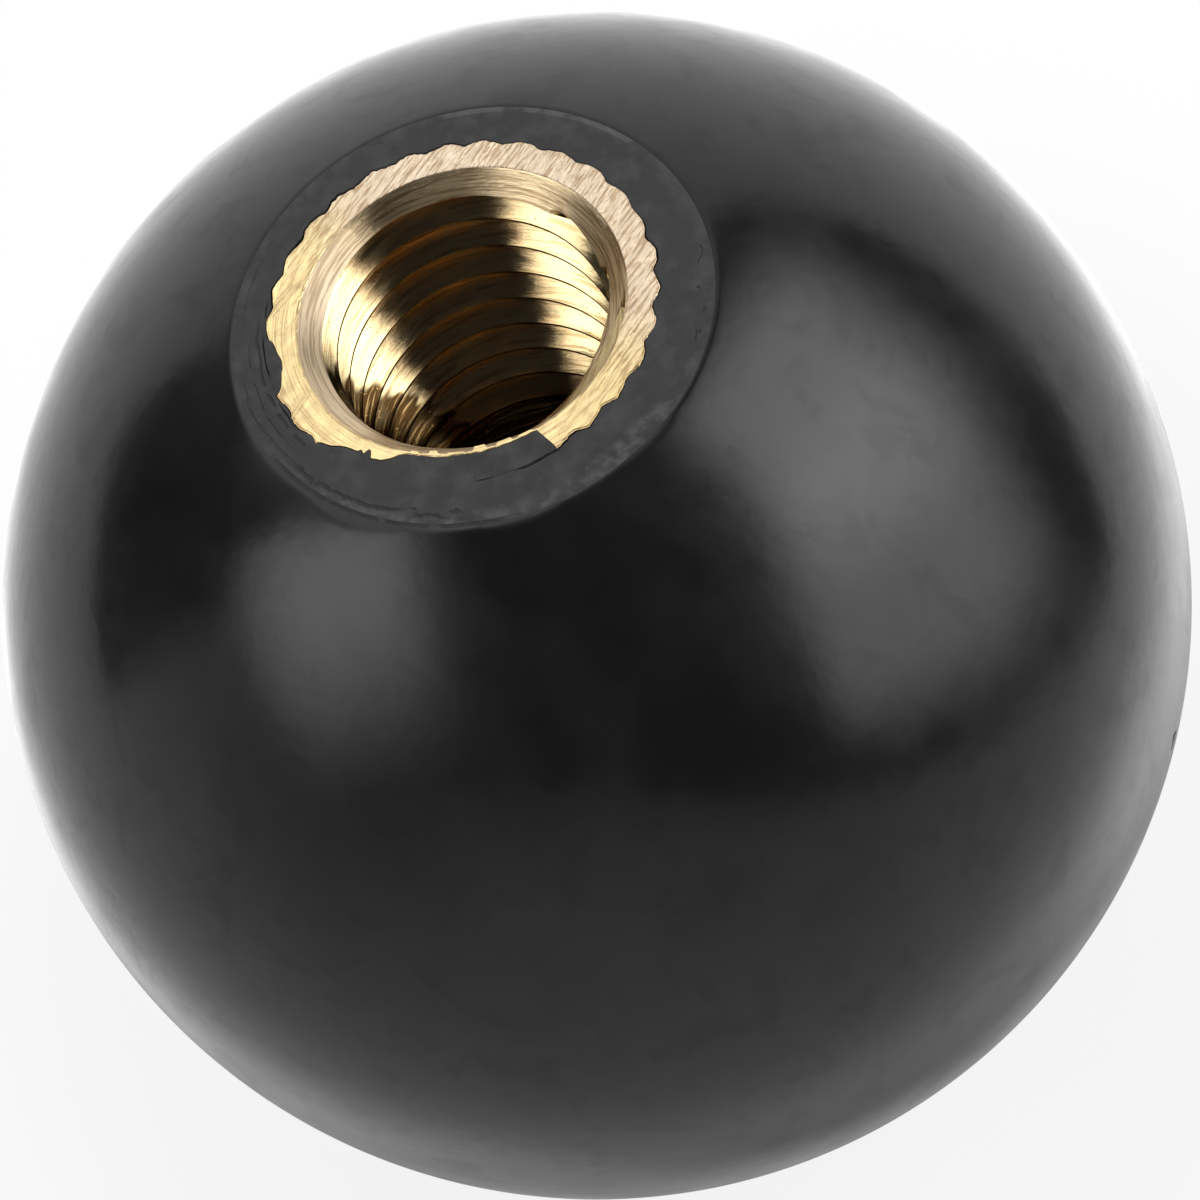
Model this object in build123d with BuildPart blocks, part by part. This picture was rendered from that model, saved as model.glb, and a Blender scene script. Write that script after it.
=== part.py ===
"""Ball knob: a phenolic resin ball moulded round a knurled brass bush with a blind metric thread.

Millimetres. The origin is the centre of the bush's mouth, in the plane of the flat, and +Z points out of the mouth.
"""

import math
import os

from build123d import *

# Ball. Its axis stands a little to one side of the bush, which the mould held off centre.
ball_diameter = 40.0
flat_border = 1.4
ball_axis_x = 0.22
ball_axis_y = -0.27

# Thread of the stud or lever that the knob goes on
thread_diameter = 10.0
thread_pitch = 1.5
thread_turns = 12
runout_turns = 1.5
drill_point_angle = 118.0

# Countersink at the mouth
mouth_relief = 0.1
mouth_half_angle = 45.0

# Brass bar that the bush is turned from, and the straight knurl rolled on its head: round lobes with a
# sharp groove between each two, which stop the bush from turning in the resin
bush_wall = 1.0
knurl_length = 14.0
knurl_rise = 0.1
lobe_count = 30
lobe_radius = 0.85
first_lobe_angle = 2.6

# Bush behind the knurl: the neck that keeps it from being pulled out, and its closed end
neck_length = 3.0
neck_depth = 0.4
end_wall = 1.4
end_bevel = 0.7

# Recess in the bush's face that the resin ran over, with a narrow lip of brass left at the mouth
skin_depth = 0.25
skin_start_angle = 232.0
skin_end_angle = 277.3
skin_lip = 0.14

ball_radius = ball_diameter / 2
mouth_radius = thread_diameter / 2 + mouth_relief
drill_radius = (thread_diameter - thread_pitch) / 2
mouth_depth = (mouth_radius - drill_radius) / math.tan(math.radians(mouth_half_angle))
drill_depth = mouth_depth + (thread_turns + runout_turns) * thread_pitch
drill_point_height = drill_radius / math.tan(math.radians(drill_point_angle / 2))
bush_length = drill_depth + drill_point_height + end_wall
bar_radius = thread_diameter / 2 + bush_wall
neck_radius = bar_radius - neck_depth
neck_end = knurl_length + neck_length
lobe_tip_radius = bar_radius + knurl_rise
lobe_centre_radius = lobe_tip_radius - lobe_radius
flat_radius = lobe_tip_radius + flat_border
ball_centre_depth = math.sqrt(ball_radius**2 - flat_radius**2)
skin_sweep = skin_end_angle - skin_start_angle

os.makedirs("parts", exist_ok=True)

# The bush before it is bored, which is also the shape of the cavity in the ball
with BuildPart() as blank:
    # neck and plain end, turned
    with BuildSketch(Plane.XZ):
        with BuildLine():
            Polyline(
                (0, -knurl_length),
                (neck_radius, -knurl_length),
                (neck_radius, -neck_end),
                (bar_radius, -neck_end),
                (bar_radius, -bush_length + end_bevel),
                (bar_radius - end_bevel, -bush_length),
                (0, -bush_length),
                close=True,
            )
        make_face()
    revolve(axis=Axis.Z)
    # knurled head
    with BuildSketch(Plane.XY):
        Circle(lobe_centre_radius)
        with PolarLocations(lobe_centre_radius, lobe_count, start_angle=first_lobe_angle):
            Circle(lobe_radius)
    extrude(amount=-knurl_length)
    # shallow recess in the face, cut from the lip outwards past the knurl
    with BuildSketch(Plane.XY):
        with BuildLine():
            inner = CenterArc((0, 0), mouth_radius + skin_lip, skin_start_angle, skin_sweep)
            outer = CenterArc((0, 0), flat_radius, skin_start_angle, skin_sweep)
            Line(inner @ 0, outer @ 0)
            Line(inner @ 1, outer @ 1)
        make_face()
    extrude(amount=-skin_depth, mode=Mode.SUBTRACT)

# Resin ball: a sphere cut off at the flat, moulded round the bush and over the recess in its face
with BuildPart() as ball:
    with Locations((ball_axis_x, ball_axis_y, -ball_centre_depth)):
        Sphere(ball_radius)
    split(bisect_by=Plane.XY, keep=Keep.BOTTOM)
    add(blank.part, mode=Mode.SUBTRACT)

# Brass bush: the blank drilled and countersunk, with the bore at the tapping drill's diameter
with BuildPart() as threaded_insert:
    add(blank.part)
    with BuildSketch(Plane.XZ):
        with BuildLine():
            Polyline(
                (0, 0),
                (mouth_radius, 0),
                (drill_radius, -mouth_depth),
                (drill_radius, -drill_depth),
                (0, -drill_depth - drill_point_height),
                close=True,
            )
        make_face()
    revolve(axis=Axis.Z, mode=Mode.SUBTRACT)

ball.part.label = "ball"
export_step(ball.part, "parts/ball.step")

threaded_insert.part.label = "threaded_insert"
export_step(threaded_insert.part, "parts/threaded_insert.step")
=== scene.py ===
"""Looks of a ball knob: a black resin ball moulded round a knurled brass bush with a tapped blind hole.

Each piece is one closed skin made ring by ring round the bore's axis, in millimetres, and is turned into
metres when its mesh is made. The origin is the centre of the mouth, in the plane of the flat, and +Z points
out of the mouth. Angles are in degrees and go round +Z from +X.
"""

import logging
import math
from dataclasses import dataclass, field
from enum import Enum

import bmesh
import bpy
import numpy as np
from mathutils import Matrix, Vector

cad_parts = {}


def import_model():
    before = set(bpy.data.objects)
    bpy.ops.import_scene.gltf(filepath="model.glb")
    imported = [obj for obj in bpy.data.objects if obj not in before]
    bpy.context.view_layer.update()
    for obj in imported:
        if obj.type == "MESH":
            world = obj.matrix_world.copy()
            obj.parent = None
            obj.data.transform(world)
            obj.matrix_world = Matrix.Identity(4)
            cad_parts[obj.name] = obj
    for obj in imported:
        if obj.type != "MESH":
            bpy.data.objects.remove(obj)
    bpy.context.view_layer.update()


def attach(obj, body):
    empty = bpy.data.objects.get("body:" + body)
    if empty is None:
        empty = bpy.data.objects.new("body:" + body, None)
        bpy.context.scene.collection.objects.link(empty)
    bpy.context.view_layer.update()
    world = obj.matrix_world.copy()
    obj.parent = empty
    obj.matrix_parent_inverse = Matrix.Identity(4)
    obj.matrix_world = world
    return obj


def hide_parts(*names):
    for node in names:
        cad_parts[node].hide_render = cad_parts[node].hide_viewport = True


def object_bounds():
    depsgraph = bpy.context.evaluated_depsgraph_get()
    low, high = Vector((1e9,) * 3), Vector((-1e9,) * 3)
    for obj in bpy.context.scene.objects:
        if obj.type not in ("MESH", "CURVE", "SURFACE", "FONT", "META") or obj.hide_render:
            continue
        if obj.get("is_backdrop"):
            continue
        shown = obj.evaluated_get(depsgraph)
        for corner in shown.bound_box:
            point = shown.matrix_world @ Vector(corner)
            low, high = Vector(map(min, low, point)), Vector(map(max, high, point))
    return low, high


MM = 0.001
# where the ball's axis stands beside the bush's, the ball's centre, and the way from it to the nick
BALL_AXIS = (0.22, -0.27)
BALL_CENTRE = (*BALL_AXIS, -18.54)
NICK = (0.783, -0.613, -0.106)
# which way the file went over the face, and a radius beyond the bush, where no resin covers it
STROKE_ANGLE = 36.0
BARE = 9.0
MOUTH_RADIUS = 5.1
WHITE = (1.0, 1.0, 1.0)

log = logging.getLogger("ball_knob")


class Finish(Enum):
    """The knob's finishes, each with its material's name and its slot on its piece."""

    POLISHED_RESIN = ("polished_resin", 0)
    CUT_RESIN = ("cut_resin", 1)
    FILED_BRASS = ("filed_brass", 0)
    TAPPED_BRASS = ("tapped_brass", 1)

    @property
    def label(self) -> str:
        """The material's name."""
        return self.value[0]

    @property
    def slot(self) -> int:
        """The material slot on the piece."""
        return self.value[1]


def blend(x: np.ndarray, low: float, high: float) -> np.ndarray:
    """Eases from 0 at low to 1 at high.

    Args:
        x: Values to ease.
        low: Value that gives 0.
        high: Value that gives 1.

    Returns:
        The eased values, with no slope at either end.
    """
    t = np.clip((np.asarray(x, float) - low) / (high - low), 0.0, 1.0)
    return t * t * (3.0 - 2.0 * t)


def turned(angle: np.ndarray, about: float) -> np.ndarray:
    """Gives each angle's distance from another, from -180 to 180 degrees."""
    return (np.asarray(angle, float) - about + 180.0) % 360.0 - 180.0


def stretch(angle: np.ndarray, start: float, full: float, fading: float, end: float) -> np.ndarray:
    """Gives 1 from full to fading, and 0 before start and after end."""
    return blend(angle, start, full) * (1.0 - blend(angle, fading, end))


def patches(angle: np.ndarray, spots: tuple) -> np.ndarray:
    """Adds up patches round a ring.

    Args:
        angle: Angles round the ring.
        spots: Each patch's middle, how far from it the patch is full, how far it reaches, and its level.

    Returns:
        The level at each angle.
    """
    return sum(level * blend(np.abs(turned(angle, middle)), far, near) for middle, near, far, level in spots)


def uneven(seed: int, angle: np.ndarray, knots: int) -> np.ndarray:
    """Makes values that change smoothly round a ring, the same in each run.

    Args:
        seed: Seed of the values.
        angle: Angles round the ring.
        knots: How many values are drawn.

    Returns:
        One value from -1 to 1 for each angle.
    """
    drawn = np.random.RandomState(seed).uniform(-1.0, 1.0, knots)
    place = (np.asarray(angle, float) % 360.0) / 360.0 * knots
    first = np.floor(place).astype(int) % knots
    share = blend(place - np.floor(place), 0.0, 1.0)
    return drawn[first] * (1.0 - share) + drawn[(first + 1) % knots] * share


def circle(angle: np.ndarray, radius: np.ndarray, height: np.ndarray, centre: tuple = (0, 0)) -> np.ndarray:
    """Lays points round an upright axis.

    Args:
        angle: Angle of each point.
        radius: Radius of each point, or one for all.
        height: Height of each point, or one for all.
        centre: Where the axis stands.

    Returns:
        The points, one a row.
    """
    turn = np.radians(angle)
    x, y = centre[0] + radius * np.cos(turn), centre[1] + radius * np.sin(turn)
    return np.stack([x, y, np.broadcast_to(height, turn.shape)], axis=-1)


def direction(azimuth: float, elevation: float) -> tuple:
    """Gives the unit vector of a direction round +Z and up from the level."""
    turn, rise = math.radians(azimuth), math.radians(elevation)
    return math.cos(turn) * math.cos(rise), math.sin(turn) * math.cos(rise), math.sin(rise)


@dataclass
class Skin:
    """A closed skin made of rings of points, joined band by band. A ring is given by its points' numbers."""

    name: str
    points: list = field(default_factory=list)
    faces: list = field(default_factory=list)
    slots: list = field(default_factory=list)
    count: int = 0

    def add(self, points: np.ndarray) -> np.ndarray:
        """Adds points.

        Args:
            points: Points in millimetres, one a row.

        Returns:
            Their numbers.
        """
        self.points.append(points)
        self.count += len(points)
        return np.arange(self.count - len(points), self.count)

    def ring(self, angle: np.ndarray, radius: np.ndarray, height: np.ndarray) -> np.ndarray:
        """Adds a ring round the bore's axis and gives its numbers."""
        return self.add(circle(angle, radius, height))

    def face(self, corners: np.ndarray, finish: Finish) -> None:
        """Adds faces of three or four corners, all with one finish."""
        self.faces.append(corners)
        self.slots.append(np.full(len(corners), finish.slot))

    def join(self, upper: np.ndarray, lower: np.ndarray, finish: Finish) -> np.ndarray:
        """Joins two rings of the same count with four-sided faces and gives the lower one."""
        self.face(np.stack([upper, np.roll(upper, -1), np.roll(lower, -1), lower], axis=-1), finish)
        return lower

    def thin_out(self, fine: np.ndarray, coarse: np.ndarray, finish: Finish) -> np.ndarray:
        """Joins a ring to one with half as many points.

        Args:
            fine: The finer ring's numbers.
            coarse: The coarser ring's numbers.
            finish: The band's finish.

        Returns:
            The coarser ring's numbers.
        """
        even, odd, later = fine[0::2], fine[1::2], np.roll(fine[0::2], -1)
        self.face(np.stack([even, odd, coarse], axis=-1), finish)
        self.face(np.stack([odd, later, np.roll(coarse, -1), coarse], axis=-1), finish)
        return coarse

    def close(self, ring: np.ndarray, tip: tuple, finish: Finish) -> None:
        """Closes a ring with a fan of faces to one point."""
        centre = self.add(np.array([tip]))[0]
        self.face(np.stack([ring, np.roll(ring, -1), np.full(len(ring), centre)], axis=-1), finish)

    def piece(self, materials: list, crease: float) -> bpy.types.Object:
        """Turns the skin into a mesh object, in metres.

        Args:
            materials: Materials in the order of the slots.
            crease: Edges that turn by more than this many degrees stay sharp.

        Returns:
            The object, linked to the scene.
        """
        mesh = bpy.data.meshes.new(self.name)
        faces = [tuple(row) for band in self.faces for row in band.tolist()]
        mesh.from_pydata((np.concatenate(self.points) * MM).tolist(), [], faces)
        for material in materials:
            mesh.materials.append(material)
        mesh.polygons.foreach_set("material_index", np.concatenate(self.slots).astype(np.int32))
        made = bmesh.new()
        made.from_mesh(mesh)
        bmesh.ops.delete(made, geom=[v for v in made.verts if not v.link_faces], context="VERTS")
        bmesh.ops.recalc_face_normals(made, faces=made.faces)
        made.to_mesh(mesh)
        made.free()
        mesh.shade_smooth()
        mesh.set_sharp_from_angle(angle=math.radians(crease))
        log.info("%s: %d points, %d faces", self.name, len(mesh.vertices), len(mesh.polygons))
        return linked(self.name, mesh)


def linked(name: str, data: bpy.types.ID) -> bpy.types.Object:
    """Makes an object of a mesh, a lamp or a camera and links it to the scene.

    Args:
        name: The object's name.
        data: The mesh, lamp or camera.

    Returns:
        The object.
    """
    made = bpy.data.objects.new(name, data)
    bpy.context.scene.collection.objects.link(made)
    return made


@dataclass(frozen=True)
class Knurl:
    """The outline that the bush shows in the flat: rolled lobes, and where resin ran over them.

    A slip is its middle, its width and how far it moves the grooves. The bite and the spill are two stretches
    of resin over the bush, as angles and the radii down to which it lies there. What is whole, torn or shrunk
    is given as patches.
    """

    lobe_count: int = 30
    lobe_radius: float = 0.85
    tip_radius: float = 6.1
    first_lobe: float = 2.6
    slip: float = 0.2
    slips: tuple = ((50.0, 22.0, 1.0), (134.0, 24.0, -0.9))
    wander: float = 0.35
    groove_depth: tuple = (0.13, 0.205)
    bluntness: tuple = (0.12, 0.36)
    skewness: float = 0.28
    whole: tuple = ((314.0, 28.0, 50.0, 0.6),)
    torn: tuple = ((88.0, 25.0, 50.0, 0.024), (215.0, 20.0, 40.0, 0.018), (310.0, 28.0, 50.0, 0.014))
    tear: float = 0.008
    nibble: float = 0.012
    swell: float = 0.022
    tip_wear: float = 0.01
    highest_tip: float = 0.03
    shrunk: tuple = ((122.0, 15.0, 40.0, 1.0), (292.0, 10.0, 18.0, 1.0), (-12.0, 8.0, 18.0, 0.5),
                     (32.0, 22.0, 34.0, -0.6))
    least_gap: float = 0.008
    edge: float = 0.05
    lip: float = 0.04
    recess: float = 0.25
    recess_span: tuple = (200.0, 279.6)
    least_recess: float = 0.03
    bite: tuple = ((160.0, BARE), (162.0, 6.02), (164.0, 5.84), (168.0, 5.74), (172.0, 5.62), (175.0, 5.68),
                   (178.0, 5.78), (181.0, 5.90), (182.5, 6.04), (184.0, BARE))
    spill: tuple = ((200.0, BARE), (203.5, 6.04), (205.0, 5.93), (208.0, 5.80), (210.5, 5.66), (214.0, 5.56),
                    (216.3, 5.55), (217.2, 5.44), (218.6, 5.53), (219.4, 5.34), (220.4, 5.37), (221.6, 5.57),
                    (225.0, 5.56), (227.5, 5.42), (229.6, 5.24), (231.5, 5.17), (233.0, 5.14), (276.9, 5.14),
                    (278.9, 5.90), (279.1, BARE))

    @property
    def pitch(self) -> float:
        """The angle from lobe to lobe."""
        return 360.0 / self.lobe_count

    def angles(self, count: int) -> np.ndarray:
        """Lays a number of angles round the bush, from the first groove on."""
        return self.first_lobe + self.pitch / 2 + np.arange(count) * 360.0 / count

    def outline(self, angle: np.ndarray) -> np.ndarray:
        """Gives the outline of the plain lobes, as they are deeper in the resin.

        Args:
            angle: Angles round the bush.

        Returns:
            The outline's radius at each angle.
        """
        local = np.radians((angle - self.first_lobe + self.pitch / 2) % self.pitch - self.pitch / 2)
        centre = self.tip_radius - self.lobe_radius
        return centre * np.cos(local) + np.sqrt(self.lobe_radius**2 - (centre * np.sin(local)) ** 2)

    def rolled(self, angle: np.ndarray) -> np.ndarray:
        """Gives the outline that shows: lobes of uneven width and height, torn a little by the file.

        Args:
            angle: Angles round the bush.

        Returns:
            The outline's radius at each angle.
        """
        source = np.random.RandomState(7)
        groove = self.angles(self.lobe_count)
        # the knurling wheel slipped a little: grooves are ahead at the top and behind further round
        moved = sum(far * np.exp(-((turned(groove, middle) / width) ** 2))
                    for middle, width, far in self.slips)
        groove = groove + self.slip + moved + source.uniform(-self.wander, self.wander, self.lobe_count)
        # the file left the lobes whole on the low right side, where the grooves are deeper
        deep = source.uniform(*self.groove_depth, self.lobe_count) * (1.0 + patches(groove, self.whole))
        blunt = source.uniform(*self.bluntness, self.lobe_count)
        skew = source.uniform(-self.skewness, self.skewness, self.lobe_count)
        cut = np.zeros(angle.shape)
        for k in range(self.lobe_count):
            off = turned(angle, groove[k]) / (self.pitch / 2)
            off = off * (1.0 + skew[k] * np.sign(off))
            near = np.clip(1.0 - (np.sqrt(off**2 + blunt[k] ** 2) - 0.6 * blunt[k]), 0.0, None)
            cut = np.maximum(cut, deep[k] * near**2)
        tear = uneven(8, angle, 420) * (self.tear + patches(angle, self.torn))
        tear = tear + self.nibble * uneven(10, angle, 150)
        shape = self.tip_radius - self.tip_wear - cut + tear + self.swell * uneven(9, angle, 22)
        return np.minimum(shape, self.tip_radius + self.highest_tip)

    def cover(self, angle: np.ndarray) -> np.ndarray:
        """Gives the radius down to which resin covers the bush.

        Args:
            angle: Angles round the bush.

        Returns:
            The cover's inner radius at each angle, beyond the bush where it is bare.
        """
        turn = angle % 360.0
        rough = 0.022 * uneven(11, turn, 190) + 0.02 * uneven(12, turn, 60)
        got = np.full(turn.shape, BARE)
        for outline in (self.bite, self.spill):
            at, radius = np.transpose(outline)
            inside = (turn > at[0]) & (turn < at[-1])
            got = np.where(inside, np.interp(turn, at, radius) + rough, got)
        return got

    def top_edge(self, angle: np.ndarray) -> np.ndarray:
        """Gives the radius at which the brass face ends."""
        return np.minimum(self.rolled(angle) - self.edge, self.cover(angle))

    def depth(self, angle: np.ndarray) -> np.ndarray:
        """Gives how deep the brass lies under the resin beyond its face.

        Args:
            angle: Angles round the bush.

        Returns:
            The depth at each angle.
        """
        turn = angle % 360.0
        covered = blend(self.rolled(turn) - self.edge - self.cover(turn), 0.0, 0.12)
        start, end = self.recess_span
        deep = np.where((turn > start) & (turn < end), self.recess, 0.4 * self.recess)
        return np.maximum(covered * deep, self.least_recess)

    def resin_edge(self, angle: np.ndarray, gap: float) -> np.ndarray:
        """Gives the radius at which the resin begins, a fine gap beyond the brass."""
        wide = gap * (1.0 + patches(angle, self.shrunk)) * (1.0 + 0.45 * uneven(13, angle, 64))
        return np.minimum(self.rolled(angle) + np.maximum(wide, self.least_gap), self.cover(angle) + gap)


@dataclass(frozen=True)
class Tapping:
    """A right-hand internal thread whose rows follow its own helix."""

    pitch: float = 1.5
    crest_radius: float = 4.25
    root_radius: float = 5.0
    crest_flat: float = 0.12
    flank_angle: float = 30.0
    crest_round: float = 0.02
    root_round: float = 0.03
    lean: tuple = (0.19, 0.20)
    lean_rise: float = 0.8
    phase: float = 0.15
    phase_angle: float = 90.0
    runout: float = 2.25

    def profile(self) -> tuple:
        """Lays out one pitch of the thread, from the middle of a crest away from the mouth.

        Returns:
            Distances along the axis and the radius at each.
        """
        rise = self.root_radius - self.crest_radius
        flank = rise * math.tan(math.radians(self.flank_angle))
        half = self.crest_flat / 2
        start, end = half + flank, self.pitch - half - flank
        soft, low = self.crest_radius + self.crest_round, self.root_radius - self.root_round
        points = [(0.0, self.crest_radius), (half, soft),
                  (half + 0.5 * flank, self.crest_radius + 0.5 * rise),
                  (start, low), ((start + end) / 2, self.root_radius), (end, low)]
        points += [(end + share * flank, self.root_radius - share * rise) for share in (0.3, 0.6, 0.85)]
        return tuple(np.transpose([*points, (end + flank, soft)]))


@dataclass(frozen=True)
class BrassBush:
    """The brass bush: its filed face, its countersunk and tapped hole, and the knurled outside in the resin.

    A flake is where it starts and ends at the mouth's edge and how far it reaches in. A covered step is how
    far it is from the face's edge to the lobes' wall, as a share, and its share of the depth there.
    """

    knurl: Knurl
    tapping: Tapping
    columns: int = 420
    mouth_radius: float = MOUTH_RADIUS
    mouth_round: float = 0.012
    ledge_depth: float = 0.035
    drill_radius: float = 4.25
    drill_depth: float = 21.1
    drill_point: float = 2.55
    length: float = 25.0537
    lobe_top: float = 0.6
    knurl_length: float = 14.0
    neck_end: float = 17.0
    neck_radius: float = 5.6
    bar_radius: float = 6.0
    end_bevel: float = 0.7
    top_of_thread: float = -0.06
    first_groove: tuple = (-0.7, -0.95)
    seam: float = 0.015
    least_edge: float = 0.02
    crease: float = 32.0
    flake_end: float = 0.6
    flakes: tuple = ((239.5, 243.0, 0.12), (246.0, 252.0, 0.06), (254.8, 259.6, 0.16), (262.8, 268.6, 0.11),
                     (270.5, 276.0, 0.05), (233.0, 236.5, 0.07))
    ragged: tuple = ((215.0, 60.0, 110.0, 0.018),)
    face_steps: tuple = (0.06, 0.14, 0.24, 0.36, 0.5, 0.64, 0.76, 0.87, 0.95, 1.0)
    covered_steps: tuple = ((0.12, 0.45), (0.3, 1.0), (0.65, 1.0), (1.0, 1.05))

    def mouth(self, angle: np.ndarray) -> np.ndarray:
        """Gives the mouth's edge, with the flakes that the tap left standing where the lip is thin.

        Args:
            angle: Angles round the bush.

        Returns:
            The edge's radius at each angle.
        """
        turn = angle % 360.0
        flake = sum(reach * stretch(turn, start, start + self.flake_end, end - self.flake_end, end)
                    for start, end, reach in self.flakes)
        rough = patches(turn, self.ragged) * uneven(21, turn, 160) + 0.008 * uneven(22, turn, 70)
        return self.mouth_radius - flake + rough

    def bore(self, skin: Skin, angle: np.ndarray) -> tuple:
        """Adds the tapped wall. Its rows run along the helix, and stop at the two end rings.

        Args:
            skin: The bush's skin.
            angle: The columns' angles.

        Returns:
            The top ring's and the bottom ring's numbers.
        """
        form = self.tapping
        along, radius = form.profile()
        steps = len(along)
        turns = math.ceil(self.drill_depth / form.pitch) + 3
        # counted from two turns above the mouth
        level = (np.arange(turns + 1)[:, None] - 2.0 + along / form.pitch).reshape(-1, 1)
        shape = np.tile(radius, turns + 1)[:, None]
        # the tap went in a little askew, so its turns lean
        turn = np.radians(angle)
        lift = form.pitch * (angle - form.phase_angle) / 360.0
        lift = lift + form.lean[0] * np.cos(turn) + form.lean[1] * (np.sin(turn) - form.lean_rise)
        height = -form.phase - level * form.pitch + lift
        fade = blend(height, -self.drill_depth, -self.drill_depth + form.runout)
        cut = (shape - form.crest_radius) * fade
        # under the countersink the first groove is cut only on the side that faces the mouth
        hidden = np.isin(np.arange(len(level)) % steps, (2, 3))[:, None]
        cut = np.where(hidden, cut * blend(height, *self.first_groove), cut)
        cone = self.mouth_radius + height + 0.02 * uneven(32, angle, 25)
        bore = np.maximum(form.crest_radius + cut, np.minimum(cone, self.mouth_radius))
        top = skin.ring(angle, self.mouth_radius + self.top_of_thread, self.top_of_thread)
        bottom = skin.ring(angle, self.drill_radius, -self.drill_depth)
        grid = np.stack([bore * np.cos(turn), bore * np.sin(turn), height], axis=-1)
        number = skin.add(grid.reshape(-1, 3)).reshape(height.shape)
        number = np.where(height > self.top_of_thread - self.seam, top, number)
        number = np.where(height < -self.drill_depth + self.seam, bottom, number)
        upper, lower = number[:-1], number[1:]
        straight = np.stack([upper[:, :-1], upper[:, 1:], lower[:, 1:], lower[:, :-1]], axis=-1)
        # the last column meets the first one a pitch lower
        last, first = upper[steps:, -1], upper[:-steps, 0]
        wrap = np.stack([last, first, lower[:-steps, 0], lower[steps:, -1]], axis=-1)
        self.sew(skin, np.concatenate([straight.reshape(-1, 4), wrap]))
        return top, bottom

    def sew(self, skin: Skin, corners: np.ndarray) -> None:
        """Adds the thread's faces: three corners where two of four are one point, and none with fewer.

        Args:
            skin: The bush's skin.
            corners: Four numbers a row.
        """
        same = corners == np.roll(corners, -1, axis=1)
        merged = same.sum(axis=1)
        cross = (corners[:, 0] == corners[:, 2]) | (corners[:, 1] == corners[:, 3])
        skin.face(corners[(merged == 0) & ~cross], Finish.TAPPED_BRASS)
        for i in range(4):
            some = corners[(merged == 1) & same[:, i]]
            skin.face(np.delete(some, (i + 1) % 4, axis=1), Finish.TAPPED_BRASS)

    def outside(self, lobes: np.ndarray, spare: float) -> tuple:
        """Gives the radius and height of each ring of the outside below the lobes' top.

        Args:
            lobes: The lobes' radius at each angle.
            spare: How far the rings stand off the bush, where they are the cavity's.

        Returns:
            Pairs of a radius and a height, from the lobes down to the closed end.
        """
        neck, bar = self.neck_radius + spare, self.bar_radius + spare
        return ((lobes + spare, -self.lobe_top), (lobes + spare, -self.knurl_length),
                (neck, -self.knurl_length), (neck, -self.neck_end), (bar, -self.neck_end),
                (bar, -self.length + self.end_bevel), (bar - self.end_bevel, -self.length - spare))

    def wrap(self, skin: Skin, fine: np.ndarray, before: np.ndarray, spare: float, finish: Finish) -> None:
        """Adds the outside below a ring, and closes it.

        Args:
            skin: The skin of the bush or of the ball.
            fine: Angles of the ring.
            before: The ring's numbers.
            spare: How far the outside stands off the bush, where it is the cavity's.
            finish: The outside's finish.
        """
        angle = fine[0::2]
        top, *rings = self.outside(self.knurl.outline(angle), spare)
        before = skin.thin_out(before, skin.ring(angle, *top), finish)
        for radius, height in rings:
            before = skin.join(before, skin.ring(angle, radius, height), finish)
        skin.close(before, (0.0, 0.0, -self.length - spare), finish)

    def build(self, materials: list) -> bpy.types.Object:
        """Makes the bush.

        Args:
            materials: The filed and the tapped brass.

        Returns:
            The piece.
        """
        skin = Skin("brass_bush")
        fine = self.knurl.angles(2 * self.columns)
        top, bottom = self.bore(skin, self.knurl.angles(self.columns))
        skin.close(bottom, (0.0, 0.0, -self.drill_depth - self.drill_point), Finish.TAPPED_BRASS)
        mouth, depth = self.mouth(fine), self.knurl.depth(fine)
        before = skin.ring(fine, np.minimum(mouth, self.mouth_radius) - self.mouth_round, -self.ledge_depth)
        skin.thin_out(before, top, Finish.TAPPED_BRASS)
        before = skin.join(before, skin.ring(fine, mouth, -self.mouth_round), Finish.FILED_BRASS)
        reach = np.maximum(self.knurl.top_edge(fine), mouth + self.knurl.lip)
        for share in self.face_steps:
            after = skin.ring(fine, mouth + share * (reach - mouth), 0.0)
            before = skin.join(before, after, Finish.FILED_BRASS)
        wall = np.maximum(self.knurl.rolled(fine), reach + self.least_edge)
        for share, drop in self.covered_steps:
            after = skin.ring(fine, reach + share * (wall - reach), -depth * drop)
            before = skin.join(before, after, Finish.FILED_BRASS)
        self.wrap(skin, fine, before, 0.0, Finish.FILED_BRASS)
        return skin.piece(materials, self.crease)


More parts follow.
